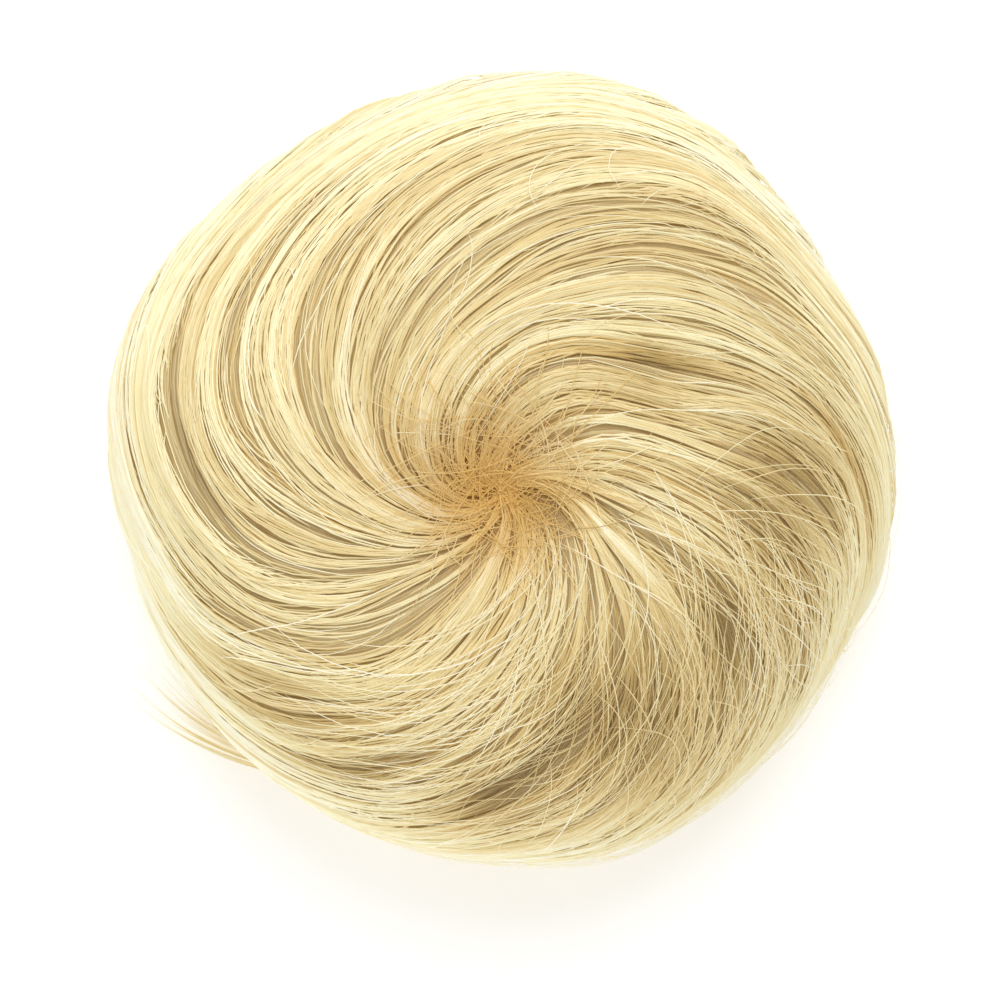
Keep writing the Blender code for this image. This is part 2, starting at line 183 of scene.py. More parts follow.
def swirlSurface():  # the hair as a grid of points: rows follow the rings, columns follow the locks
    columns, rows = bun["gridColumns"], bun["gridRows"]
    fine = np.linspace(0, 360, 1441)
    spreads = np.linspace(0, 360, columns, endpoint=False)
    labels = np.interp(spreads, spreadOf(fine), fine)
    places = np.linspace(0, 1, rows)
    directions = smoothThrough(ringPlaces, ringDirections(spreads, labels), places)
    reach = smoothThrough(ringPlaces, bun["reach"], places)[:, None]
    rise = smoothThrough(ringPlaces, bun["rise"], places)[:, None]
    outline = bun["halfWidth"] * aroundTable(bun["outline"], directions)
    over = places[:, None] < ringPlaces[equator]
    swell = np.sin(math.pi * np.minimum(places / ringPlaces[edge], 1))[:, None] ** 2
    height = bun["height"] * (rise + aroundTable(bun["fullness"], directions) * swell)
    radius = reachToRadius(reach, outline, places[:, None] > ringPlaces[equator])
    pull = np.where(over, 1 - reach ** 2, 0)
    angle = np.radians(directions)
    smooth = np.stack([bun["crown"][0] * pull + radius * np.cos(angle),
                       bun["crown"][1] * pull + radius * np.sin(angle), height], axis=-1)

    along = np.gradient(smooth, axis=0) * (rows - 1)
    step = columns // 720
    across = (np.roll(smooth, -step, axis=1) - np.roll(smooth, step, axis=1)) * columns / (720 * step)
    alongUnit = unit(along)
    across -= alongUnit * (across * alongUnit).sum(-1, keepdims=True)
    width = np.linalg.norm(across, axis=-1)  # metres for each degree of spread
    outwards = unit(crossed(along, across))
    outwards[0] = (0, 0, 1)

    lockWidth = 360 / bun["locks"]
    number, part = np.divmod(spreads, lockWidth)
    crest = np.sin(math.pi * (part / lockWidth) ** 0.8) ** 0.7 - 0.6
    strength = smoothThrough(ringPlaces, bun["relief"], places)[:, None]
    strength = bun["lockRelief"] * strength * (0.85 + 0.15 * np.sin(2.4 * number))
    relief = np.minimum(strength * width * lockWidth, bun["lockReliefMax"]) * crest
    overReach = np.where(over, reach, 1.0)
    folds = np.zeros_like(width)
    for direction, foldWidth, start, end, depth in bun["folds"]:
        off = np.abs((labels - direction + 180) % 360 - 180) / (foldWidth / 2)
        share = np.clip((overReach - start) / (end - start), 0, 1)
        folds += depth * (np.cos(math.pi / 2 * np.minimum(off, 1)) * np.sin(math.pi * share)) ** 2
    relief = relief - folds * bun["height"]
    relief[0] = 0
    return {
        "points": smooth + outwards * relief[..., None] + bun["axis"],
        "outwards": outwards,
        "width": width,
        "length": np.linalg.norm(along, axis=-1),
        "reach": np.broadcast_to(overReach, width.shape),
        "folds": folds,
    }


def readGrid(grid, spread, place):  # bilinear, round the clock in spread
    rows, columns = grid.shape[:2]
    c, r = spread / 360 * columns, np.clip(place, 0, 1) * (rows - 1)
    c0, r0 = np.floor(c).astype(int), np.minimum(np.floor(r).astype(int), rows - 2)
    fc, fr = c - c0, r - r0
    if grid.ndim == 3:
        fc, fr = fc[..., None], fr[..., None]
    a, b = c0 % columns, (c0 + 1) % columns
    upper = grid[r0, a] * (1 - fc) + grid[r0, b] * fc
    lower = grid[r0 + 1, a] * (1 - fc) + grid[r0 + 1, b] * fc
    return upper * (1 - fr) + lower * fr


print("stage: form of the bun")
hair = swirlSurface()


# Finishes

def newMaterial(name):
    made = bpy.data.materials.new(name)
    made.use_nodes = True
    nodes = made.node_tree.nodes
    return made, nodes, made.node_tree.links, nodes["Principled BSDF"]


def addNode(nodes, kind, **settings):
    node = nodes.new(kind)
    for key, value in settings.items():
        setattr(node, key, value)
    return node


def setRamp(node, stops):
    ramp = node.color_ramp
    while len(ramp.elements) < len(stops):
        ramp.elements.new(0.5)
    for element, (position, colour) in zip(ramp.elements, stops):
        element.position = position
        element.color = (*colour, 1)


hairFinish = {
    "shades": (  # from ash brown to platinum
        (0.00, (0.30, 0.20, 0.080)),
        (0.25, (0.55, 0.41, 0.17)),
        (0.50, (0.74, 0.61, 0.32)),
        (0.75, (0.85, 0.78, 0.50)),
        (1.00, (0.91, 0.89, 0.74)),
    ),
    "warm": (0.66, 0.42, 0.12),
    "warmShare": 0.9,
    "roughness": 0.55,
    "specular": 0.25,
    "paintedFibreGlow": 0.17,  # painted light: the fibres glow in their own colour, standing in for light passing through them
    "streaks": (28.0, 900.0, 1.0),
    "streakShare": 0.10,
    # the underlayer's colours, darker than the strands': hair colour and painted shade for the depth between
    # the hairs
    "bodyShadedColours": (
        (0.36, (0.46, 0.32, 0.13)),
        (0.50, (0.69, 0.54, 0.27)),
        (0.64, (0.85, 0.75, 0.47)),
    ),
    "bodyWarm": (0.50, 0.28, 0.08),
    "bodyFibres": (760.0, 5.0, 1.0),
    "bodyBump": 0.5,
}


def strandMaterial():
    made, nodes, links, shader = newMaterial("blonde fibre")
    tint = addNode(nodes, "ShaderNodeAttribute", attribute_name="tint")
    warm = addNode(nodes, "ShaderNodeAttribute", attribute_name="warm")
    course = addNode(nodes, "ShaderNodeUVMap", uv_map=bun["bakeMap"])
    stretch = addNode(nodes, "ShaderNodeMapping")
    stretch.inputs["Scale"].default_value = hairFinish["streaks"]
    links.new(course.outputs["UV"], stretch.inputs["Vector"])
    streak = addNode(nodes, "ShaderNodeTexNoise")
    streak.inputs["Scale"].default_value = 1
    streak.inputs["Detail"].default_value = 2
    links.new(stretch.outputs["Vector"], streak.inputs["Vector"])
    mixed = addNode(nodes, "ShaderNodeMath", operation="MULTIPLY_ADD")
    links.new(streak.outputs["Fac"], mixed.inputs[0])
    mixed.inputs[1].default_value = hairFinish["streakShare"]
    shift = addNode(nodes, "ShaderNodeMath", operation="SUBTRACT")
    links.new(tint.outputs["Fac"], shift.inputs[0])
    shift.inputs[1].default_value = hairFinish["streakShare"] / 2
    links.new(shift.outputs[0], mixed.inputs[2])
    ramp = addNode(nodes, "ShaderNodeValToRGB")
    setRamp(ramp, hairFinish["shades"])
    links.new(mixed.outputs[0], ramp.inputs["Fac"])
    gold = addNode(nodes, "ShaderNodeMix", data_type="RGBA")
    share = addNode(nodes, "ShaderNodeMath", operation="MULTIPLY")
    links.new(warm.outputs["Fac"], share.inputs[0])
    share.inputs[1].default_value = hairFinish["warmShare"]
    links.new(share.outputs[0], gold.inputs["Factor"])
    links.new(ramp.outputs["Color"], gold.inputs[6])
    gold.inputs[7].default_value = (*hairFinish["warm"], 1)
    links.new(gold.outputs[2], shader.inputs["Base Color"])
    # the fibres glow in their base colour: painted light in the gaps between them
    links.new(gold.outputs[2], shader.inputs["Emission Color"])
    shader.inputs["Emission Strength"].default_value = hairFinish["paintedFibreGlow"]
    made.cycles.emission_sampling = "NONE"
    shader.inputs["Roughness"].default_value = hairFinish["roughness"]
    shader.inputs["Specular IOR Level"].default_value = hairFinish["specular"]
    return made


def bodyMaterial():
    made, nodes, links, shader = newMaterial("blonde underlayer")
    grid = addNode(nodes, "ShaderNodeUVMap", uv_map=bun["bakeMap"])
    stretch = addNode(nodes, "ShaderNodeMapping")
    stretch.inputs["Scale"].default_value = hairFinish["bodyFibres"]
    links.new(grid.outputs["UV"], stretch.inputs["Vector"])
    fibres = addNode(nodes, "ShaderNodeTexNoise")
    fibres.inputs["Scale"].default_value = 1
    fibres.inputs["Detail"].default_value = 3
    links.new(stretch.outputs["Vector"], fibres.inputs["Vector"])
    warm = addNode(nodes, "ShaderNodeAttribute", attribute_name="warm")
    ramp = addNode(nodes, "ShaderNodeValToRGB")
    # darker ramp: hair colour and painted shade in the gaps between the strands
    setRamp(ramp, hairFinish["bodyShadedColours"])
    links.new(fibres.outputs["Fac"], ramp.inputs["Fac"])
    gold = addNode(nodes, "ShaderNodeMix", data_type="RGBA")
    links.new(warm.outputs["Fac"], gold.inputs["Factor"])
    links.new(ramp.outputs["Color"], gold.inputs[6])
    gold.inputs[7].default_value = (*hairFinish["bodyWarm"], 1)
    links.new(gold.outputs[2], shader.inputs["Base Color"])
    bump = addNode(nodes, "ShaderNodeBump")
    bump.inputs["Strength"].default_value = hairFinish["bodyBump"]
    bump.inputs["Distance"].default_value = 0.0003
    links.new(fibres.outputs["Fac"], bump.inputs["Height"])
    links.new(bump.outputs["Normal"], shader.inputs["Normal"])
    shader.inputs["Roughness"].default_value = 0.5
    shader.inputs["Specular IOR Level"].default_value = hairFinish["specular"]
    return made


def weaveMaterial(name, pale, dark, scale, roughness):
    made, nodes, links, shader = newMaterial(name)
    coords = addNode(nodes, "ShaderNodeTexCoord")
    cells = addNode(nodes, "ShaderNodeTexVoronoi", feature="DISTANCE_TO_EDGE")
    cells.inputs["Scale"].default_value = scale
    cells.inputs["Randomness"].default_value = 0.25
    links.new(coords.outputs["Object"], cells.inputs["Vector"])
    ramp = addNode(nodes, "ShaderNodeValToRGB")
    setRamp(ramp, ((0.06, pale), (0.22, dark)))
    links.new(cells.outputs["Distance"], ramp.inputs["Fac"])
    links.new(ramp.outputs["Color"], shader.inputs["Base Color"])
    bump = addNode(nodes, "ShaderNodeBump", invert=True)
    bump.inputs["Strength"].default_value = 0.7
    bump.inputs["Distance"].default_value = 0.0002
    links.new(cells.outputs["Distance"], bump.inputs["Height"])
    links.new(bump.outputs["Normal"], shader.inputs["Normal"])
    shader.inputs["Roughness"].default_value = roughness
    return made


def plasticMaterial():
    made, nodes, links, shader = newMaterial("brown plastic")
    coords = addNode(nodes, "ShaderNodeTexCoord")
    cloud = addNode(nodes, "ShaderNodeTexNoise")
    cloud.inputs["Scale"].default_value = 180
    links.new(coords.outputs["Object"], cloud.inputs["Vector"])
    ramp = addNode(nodes, "ShaderNodeValToRGB")
    setRamp(ramp, ((0.35, (0.20, 0.105, 0.04)), (0.65, (0.33, 0.19, 0.08))))
    links.new(cloud.outputs["Fac"], ramp.inputs["Fac"])
    links.new(ramp.outputs["Color"], shader.inputs["Base Color"])
    shader.inputs["Roughness"].default_value = 0.28
    return made


fibreMaterial = strandMaterial()
underMaterial = bodyMaterial()


# Meshes

def meshObject(name, mesh, material=None):
    made = bpy.data.objects.new(name, mesh)
    bpy.context.scene.collection.objects.link(made)
    if material:
        mesh.materials.append(material)
    return made


def addAttribute(mesh, name, values):
    attribute = mesh.attributes.new(name, "FLOAT", "POINT")
    attribute.data.foreach_set("value", np.ascontiguousarray(values, dtype=np.float32).ravel())


def closedGrid(name, points, material):  # rows of points round the axis, with a pole at each end
    rows, columns = points.shape[:2]
    body = points[1:-1].reshape(-1, 3)
    vertices = np.concatenate([points[:1].mean(1), body, points[-1:].mean(1)])
    last = len(vertices) - 1
    index = 1 + np.arange((rows - 2) * columns).reshape(rows - 2, columns)
    right = np.roll(index, -1, axis=1)
    quads = np.stack([index[:-1], index[1:], right[1:], right[:-1]], axis=-1).reshape(-1, 4)
    top = np.stack([np.zeros(columns, int), index[0], right[0]], axis=-1)
    bottom = np.stack([np.full(columns, last), right[-1], index[-1]], axis=-1)
    mesh = bpy.data.meshes.new(name)
    mesh.from_pydata(vertices, [], quads.tolist() + top.tolist() + bottom.tolist())
    uvMap = mesh.uv_layers.new(name=bun["bakeMap"])
    column = np.arange(columns)
    left, middle, right = column / columns, (column + 0.5) / columns, (column + 1) / columns
    full = (rows - 3, columns)
    u0, u1 = np.broadcast_to(left, full), np.broadcast_to(right, full)
    v = np.linspace(0, 1, rows)
    v0, v1 = np.broadcast_to(v[1:-2, None], full), np.broadcast_to(v[2:-1, None], full)
    quadMap = np.stack([u0, v0, u0, v1, u1, v1, u1, v0], axis=-1).ravel()
    level = np.ones(columns)
    topMap = np.stack([middle, v[0] * level, left, v[1] * level, right, v[1] * level], axis=-1).ravel()
    bottomMap = np.stack([middle, v[-1] * level, right, v[-2] * level, left, v[-2] * level], axis=-1).ravel()
    uvMap.data.foreach_set("uv", np.concatenate([quadMap, topMap, bottomMap]).astype(np.float32))
    mesh.shade_smooth()
    return meshObject(name, mesh, material)


goldenPatches = (  # place, radius and share of the golden colour in and round the pit
    ((-0.0018, 0.0000), 0.0105, 1.0),
    ((-0.0018, 0.0000), 0.0240, 0.22),
    ((-0.0125, 0.0035), 0.0100, 0.42),
)
goldenFloor = 0.039


def warmth(points):
    share = np.zeros(points.shape[:-1])
    for (x, y), radius, most in goldenPatches:
        away = points - bun["axis"] - np.array([bun["crown"][0] + x, bun["crown"][1] + y, 0])
        share = np.maximum(share, most * np.exp(-(np.hypot(away[..., 0], away[..., 1]) / radius) ** 2))
    return share * (points[..., 2] > goldenFloor)


body = {
    "columns": 900,
    "rows": 58,
    "innerRows": 12,
    "sink": 0.0003,  # how far it lies under the form, so that the hairs lie on it
    # how many clumps, how high, how far they wander
    "clumps": ((96, 0.00022, 0.9), (233, 0.00012, 0.6)),
    "seed": 11,
}


def buildBody():
    rng = np.random.default_rng(body["seed"])
    spread = np.linspace(0, 360, body["columns"], endpoint=False)
    fine = np.linspace(0, 1, 400)
    mean = readGrid(hair["length"], np.full(400, 200.0), fine)
    lengths = np.concatenate([[0], np.cumsum((mean[1:] + mean[:-1]) / 2)])
    place = np.interp(np.linspace(0, lengths[-1], body["rows"]), lengths, fine)
    s, p = np.meshgrid(spread, place)
    points, outwards = readGrid(hair["points"], s, p), readGrid(hair["outwards"], s, p)
    width = readGrid(hair["width"], s, p)
    relief = np.zeros_like(width)
    for count, high, wander in body["clumps"]:
        warp = np.zeros_like(width)
        for k in range(5):
            turns, waves = rng.integers(3, 17), rng.uniform(0.6, 3.2)
            warp += wander / 2.2 * np.sin(np.radians(turns * s) + waves * 6.28 * p + rng.uniform(0, 6.28))
        ridge = np.abs(np.sin(math.pi * (count * s / 360 + warp))) ** 0.6 - 0.7
        relief += np.minimum(high, 0.24 * width * 360 / count) * ridge
    fade = np.clip(p / 0.04, 0, 1) * np.clip((1 - p) / 0.08, 0, 1)
    points = points + outwards * ((relief - body["sink"]) * fade)[..., None]

    inside = [(bun["bandRadius"] + bun["gap"], bandHigh[2] / 2)]
    inside.append((bun["bandRadius"] + bun["gap"], capLow[2]))
    capRadius = (capHigh[0] - capLow[0]) / 2 + bun["gap"]
    shoulder = capLow[2] + 0.007
    steps = body["innerRows"]
    for k in range(steps + 1):
        lift = math.radians(90 * k / steps)
        high = shoulder + (capHigh[2] + bun["gap"] - shoulder) * math.sin(lift)
        inside.append((capRadius * math.cos(lift), high))
    angle = np.radians(spread + turnAt("edge", 0.0) - bun["underTurn"])
    inner = np.array([ringOf(radius, height, angle) for radius, height in inside])
    made = closedGrid("hair_body", np.concatenate([points, inner + bun["axis"]]), underMaterial)
    corners = np.array([vertex.co for vertex in made.data.vertices])
    addAttribute(made.data, "warm", warmth(corners))
    return made


print("stage: hair body")
hairBody = buildBody()


# Single hairs: lines of points are worked out here, and a node tree makes them tubes

strandTubes = {
    "Thickness": 0.000132,
    "Flatness": 0.5,
    "Sides": 3,
    "Uneven": 0.25,
    "Bake Columns": 4,
    "Seed": 7,
}


def tubeTree():
    tree = bpy.data.node_groups.new("hair tubes", "GeometryNodeTree")
    face = tree.interface
    face.new_socket("Lines", in_out="INPUT", socket_type="NodeSocketGeometry")
    for name, kind in (("Thickness", "NodeSocketFloat"), ("Flatness", "NodeSocketFloat"),
                       ("Sides", "NodeSocketInt"), ("Uneven", "NodeSocketFloat"),
                       ("Bake Columns", "NodeSocketFloat"), ("Bake Rows", "NodeSocketFloat"),
                       ("Seed", "NodeSocketInt"), ("Finish", "NodeSocketMaterial")):
        face.new_socket(name, in_out="INPUT", socket_type=kind)
    face.new_socket("Hair", in_out="OUTPUT", socket_type="NodeSocketGeometry")
    nodes, links = tree.nodes, tree.links
    given, result = nodes.new("NodeGroupInput"), nodes.new("NodeGroupOutput")

    def worked(operation, a, b):
        node = addNode(nodes, "ShaderNodeMath", operation=operation)
        for socket, value in zip(node.inputs, (a, b)):
            if isinstance(value, (int, float)):
                socket.default_value = value
            elif value is not None:
                links.new(value, socket)
        return node.outputs[0]

    def named(name):
        node = addNode(nodes, "GeometryNodeInputNamedAttribute", data_type="FLOAT")
        node.inputs["Name"].default_value = name
        return node.outputs["Attribute"]

    def store(geometry, name, value, kind="FLOAT", domain="POINT"):
        node = addNode(nodes, "GeometryNodeStoreNamedAttribute", data_type=kind, domain=domain)
        node.inputs["Name"].default_value = name
        links.new(geometry, node.inputs["Geometry"])
        links.new(value, node.inputs["Value"])
        return node.outputs["Geometry"]

    lines = nodes.new("GeometryNodeMeshToCurve")
    links.new(given.outputs["Lines"], lines.inputs["Mesh"])
    parameter = nodes.new("GeometryNodeSplineParameter")
    course = store(lines.outputs["Curve"], "along", parameter.outputs["Factor"])
    chance = addNode(nodes, "FunctionNodeRandomValue", data_type="FLOAT")
    number = named("number")
    links.new(number, chance.inputs["ID"])
    links.new(given.outputs["Seed"], chance.inputs["Seed"])
    links.new(worked("SUBTRACT", 1.0, given.outputs["Uneven"]), chance.inputs[2])
    links.new(worked("ADD", 1.0, given.outputs["Uneven"]), chance.inputs[3])
    girth = worked("MULTIPLY", named("girth"), given.outputs["Thickness"])
    girth = worked("MULTIPLY", girth, chance.outputs[1])
    upright = addNode(nodes, "GeometryNodeSetCurveNormal", mode="FREE")
    links.new(course, upright.inputs["Curve"])
    outwards = addNode(nodes, "GeometryNodeInputNamedAttribute", data_type="FLOAT_VECTOR")
    outwards.inputs["Name"].default_value = "upright"
    links.new(outwards.outputs["Attribute"], upright.inputs["Normal"])
    radius = nodes.new("GeometryNodeSetCurveRadius")
    links.new(upright.outputs["Curve"], radius.inputs["Curve"])
    links.new(girth, radius.inputs["Radius"])
    ring = nodes.new("GeometryNodeCurvePrimitiveCircle")
    links.new(given.outputs["Sides"], ring.inputs["Resolution"])
    ring.inputs["Radius"].default_value = 1.0
    profile = store(ring.outputs["Curve"], "around", parameter.outputs["Factor"])
    squash = nodes.new("ShaderNodeCombineXYZ")
    links.new(given.outputs["Flatness"], squash.inputs["X"])
    squash.inputs["Y"].default_value = squash.inputs["Z"].default_value = 1.0
    flat = nodes.new("GeometryNodeTransform")
    links.new(profile, flat.inputs["Geometry"])
    links.new(squash.outputs[0], flat.inputs["Scale"])
    tube = nodes.new("GeometryNodeCurveToMesh")
    links.new(radius.outputs["Curve"], tube.inputs["Curve"])
    links.new(flat.outputs["Geometry"], tube.inputs["Profile Curve"])
    tube.inputs["Fill Caps"].default_value = True
    if "Scale" in tube.inputs:
        links.new(girth, tube.inputs["Scale"])

    # The last side runs back to the first corner of the ring: its map coordinate is 1 there, not 0
    around = named("around")
    mean = addNode(nodes, "GeometryNodeFieldOnDomain", data_type="FLOAT", domain="FACE")
    links.new(around, mean.inputs[0])
    sides = given.outputs["Sides"]
    usual = worked("DIVIDE", 0.75, sides)
    atStart, past = worked("LESS_THAN", around, 0.01), worked("GREATER_THAN", mean.outputs[0], usual)
    isLast = worked("MULTIPLY", atStart, past)
    around = worked("ADD", around, isLast)
    columns, rows = given.outputs["Bake Columns"], given.outputs["Bake Rows"]
    column = worked("FLOORED_MODULO", number, columns)
    row = worked("FLOOR", worked("DIVIDE", number, columns), None)
    inColumn = worked("ADD", worked("MULTIPLY", named("along"), 0.97), 0.015)
    inRow = worked("ADD", worked("MULTIPLY", around, 0.86), 0.07)
    join = nodes.new("ShaderNodeCombineXYZ")
    links.new(worked("DIVIDE", worked("ADD", column, inColumn), columns), join.inputs["X"])
    links.new(worked("DIVIDE", worked("ADD", row, inRow), rows), join.inputs["Y"])
    mapped = store(tube.outputs["Mesh"], bun["bakeMap"], join.outputs[0], "FLOAT2", "CORNER")
    ridged = nodes.new("GeometryNodeSetShadeSmooth")
    links.new(mapped, ridged.inputs["Geometry"])
    ridged.inputs["Shade Smooth"].default_value = False
    real = nodes.new("GeometryNodeRealizeInstances")
    links.new(ridged.outputs["Geometry"], real.inputs["Geometry"])
    finish = nodes.new("GeometryNodeSetMaterial")
    links.new(real.outputs["Geometry"], finish.inputs["Geometry"])
    links.new(given.outputs["Finish"], finish.inputs["Material"])
    links.new(finish.outputs["Geometry"], result.inputs["Hair"])
    return tree


hairTubes = tubeTree()


def setInput(modifier, name, value):
    for item in modifier.node_group.interface.items_tree:
        if item.name == name and item.in_out == "INPUT":
            modifier[item.identifier] = value


def madePlain(piece):
    graph = bpy.context.evaluated_depsgraph_get()
    mesh = bpy.data.meshes.new_from_object(piece.evaluated_get(graph))
    piece.modifiers.clear()
    old, piece.data = piece.data, mesh
    bpy.data.meshes.remove(old)
    return piece


def tubesFrom(name, points, uprights, girth, tint, warm=0.0, thickness=1.0):
    # points and uprights: strands x steps x 3. girth, tint and warm: the same without the last axis
    count, steps = points.shape[:2]
    heading = unit(np.gradient(points, axis=1))
    uprights = unit(uprights - heading * (uprights * heading).sum(-1, keepdims=True))
    index = np.arange(count * steps).reshape(count, steps)
    edges = np.stack([index[:, :-1], index[:, 1:]], axis=-1).reshape(-1, 2)
    mesh = bpy.data.meshes.new(name)
    mesh.from_pydata(points.reshape(-1, 3), edges, [])
    upright = mesh.attributes.new("upright", "FLOAT_VECTOR", "POINT")
    upright.data.foreach_set("vector", np.ascontiguousarray(uprights, dtype=np.float32).ravel())
    addAttribute(mesh, "girth", girth)
    addAttribute(mesh, "tint", np.clip(tint, 0, 1))
    addAttribute(mesh, "warm", np.maximum(warmth(points), warm))
    addAttribute(mesh, "number", np.repeat(np.arange(count), steps))
    piece = meshObject(name, mesh)
    modifier = piece.modifiers.new("tubes", "NODES")
    modifier.node_group = hairTubes
    columns = strandTubes["Bake Columns"]
    given = dict(strandTubes)
    given["Thickness"] = strandTubes["Thickness"] * thickness
    given["Bake Columns"] = float(columns)
    given["Bake Rows"] = float(math.ceil(count / columns))
    given["Finish"] = fibreMaterial
    for label, value in given.items():
        setInput(modifier, label, value)
    madePlain(piece)
    for unused in ("along", "around", "girth", "number", "upright"):
        attribute = piece.data.attributes.get(unused)
        if attribute:
            piece.data.attributes.remove(attribute)
    triangles = sum(len(polygon.vertices) - 2 for polygon in piece.data.polygons)
    print("  ", name, count, "strands", triangles, "triangles")
    return piece


def evenSteps(points, uprights, extras, steps):  # fewer points, closer where the line turns
    step = np.diff(points, axis=1)
    size = np.linalg.norm(step, axis=-1)
    heading = step / np.maximum(size, 1e-9)[..., None]
    bend = np.arccos(np.clip((heading[:, 1:] * heading[:, :-1]).sum(-1), -1, 1))
    weight = size / 0.0045
    weight[:, 1:] += bend / math.radians(8) / 2
    weight[:, :-1] += bend / math.radians(8) / 2
    travelled = np.concatenate([np.zeros((len(points), 1)), np.cumsum(weight, axis=1)], axis=1)
    stacked = np.concatenate([points, uprights] + [extra[..., None] for extra in extras], axis=-1)
    out = np.empty((len(points), steps, stacked.shape[-1]))
    for k in range(len(points)):
        wanted = np.linspace(0, travelled[k, -1], steps)
        for axis in range(stacked.shape[-1]):
            out[k, :, axis] = np.interp(wanted, travelled[k], stacked[k, :, axis])
    return out[..., :3], out[..., 3:6], [out[..., 6 + k] for k in range(len(extras))]


def spreadByArea(rng, count, lowest, highest):  # centres evenly over the hair between two places
    area = hair["width"] * hair["length"]
    rows, columns = area.shape
    places = np.linspace(0, 1, rows)
    perRow = area.sum(1) * ((places >= lowest) & (places <= highest))
    total = np.cumsum(perRow) / perRow.sum()
    place = np.interp((np.arange(count) + rng.random(count)) / count, total, places)
    rng.shuffle(place)
    golden = (np.arange(count) * 0.6180339887 + rng.random(count) * 0.5 / count) % 1
    spread = np.empty(count)
    for k in range(count):
        row = np.cumsum(area[min(int(place[k] * (rows - 1)), rows - 1)])
        spread[k] = 360 * np.interp(golden[k], row / row[-1], np.arange(columns)) / columns
    return spread, place


strands = {
    "names": ("hair_strands_inner", "hair_strands_lower", "hair_strands_upper", "hair_strands_outer"),
    "bundles": (470, 112, 150, 118),
    "perBundle": (1, 8, 8, 10),
    "steps": 25,
    "fineSteps": 60,
    "covers": (0.03, 0.93),  # where along the locks the middles of the hairs lie
    "topEnd": (0.004, 0.05),
    "lowEnd": 0.97,
    "stagger": 0.03,
    "ownLength": (0.75, 1.15),
    "gather": (0.0, 0.4),  # how far a bundle closes at its ends
    "swing": (0.0005, 0.00006),
    "dive": 0.12,  # share of the length over which an end goes into the hair
    "taper": 0.08,
    "lift": (-0.00005, 0.00008, 0.00022, 0.00038),
    "endLift": -0.0010,
    "liftSpread": 0.00012,
    "ownLift": 0.00007,
    "halfWidth": (0.0006, 0.0019),
    "length": (0.040, 0.102),
    "arch": 0.00022,
    "slant": 1.0,
    "ownSlant": 0.3,
    "tint": (0.50, 0.57, 0.63, 0.66),
    "tintSpread": 0.085,
    "ownTintSpread": 0.040,
    "goldenShare": 0.10,
    # painted shade: hairs darkened in the grooves in step with the fold depth
    "foldPaintedShade": -18.0,
    "pitTintSpread": (0.04, 0.05),
    "goldenTint": (0.2, 0.5),
    "streaks": (7, 13, 23, 37, 61, 97, 151),
    "streakTint": 0.034,
    "pitWander": 0.0006,
    "pitRadius": 0.009,
    "floor": 0.0004,
    "seed": 23,
}

# Painted shade and painted light on the hair: darker where it turns away from the key light, in the pit and
# between locks, paler on the lower rim and on the ridge beside the pit. Place, radius and change of tint
paintedLightShadePatches = (
    ((0.040, -0.004), 0.010, -0.34),
    ((0.031, -0.022), 0.011, -0.26),
    ((0.018, -0.037), 0.013, -0.44),
    ((0.010, -0.032), 0.008, -0.16),
    ((-0.001, -0.046), 0.008, -0.30),
    ((-0.022, -0.040), 0.007, -0.12),
    ((0.022, 0.009), 0.008, -0.16),
    ((0.0039, -0.0048), 0.0035, -0.34),
    ((0.0103, -0.0040), 0.0035, -0.26),
    ((0.0060, 0.0012), 0.0030, 0.20),
    ((0.0139, 0.0044), 0.0045, 0.20),
    ((0.0250, 0.0054), 0.0060, 0.16),
    ((0.0195, 0.0135), 0.0050, -0.18),
    ((-0.011, -0.010), 0.006, 0.10),
    ((-0.049, -0.010), 0.012, 0.10),
)
# Painted light: the hair made paler towards the rim, standing in for light the floor throws back onto it
paintedRimLight = {"reach": 0.80, "change": 0.22}


# painted shade and painted light: the tint change of the patches at these points
def paintedLightShadeTint(points):
    tint = np.zeros(points.shape[:-1])
    for (x, y), radius, change in paintedLightShadePatches:
        away = np.hypot(points[..., 0] - x, points[..., 1] - y)
        tint += change * np.exp(-(away / radius) ** 2)
    return tint


streakRng = np.random.default_rng(strands["seed"])
streakWaves = [(turns, *streakRng.uniform(0, 2, 2), streakRng.uniform(0, 6.28)) for turns in strands["streaks"]]


def streakTint(spread, place):  # long pale and dark streaks that all layers share
    tint = np.zeros_like(spread)
    for turns, waves, sway, phase in streakWaves:
        bend = 0.4 * np.sin(6.28 * sway * place + 3 * phase)
        wave = np.sin(np.radians(turns * spread) + 6.28 * waves * place + bend + phase)
        tint += strands["streakTint"] * wave
    return tint


def pitWander(points, rng):  # near the pit the hairs stray from their locks
    away = points - bun["axis"] - np.array([*bun["crown"], 0])
    near = np.exp(-(np.hypot(away[..., 0], away[..., 1]) / strands["pitRadius"]) ** 2)
    t = np.linspace(0, 1, points.shape[-2])
    drift = np.zeros_like(points)
    for k in (2, 4, 7):
        phase = rng.uniform(0, 6.28, points.shape[:-2] + (1, 3))
        drift += rng.normal(0, 1.5 / k, points.shape[:-2] + (1, 3)) * np.sin(6.28 * k * t[:, None] + phase)
    return points + strands["pitWander"] * near[..., None] * drift


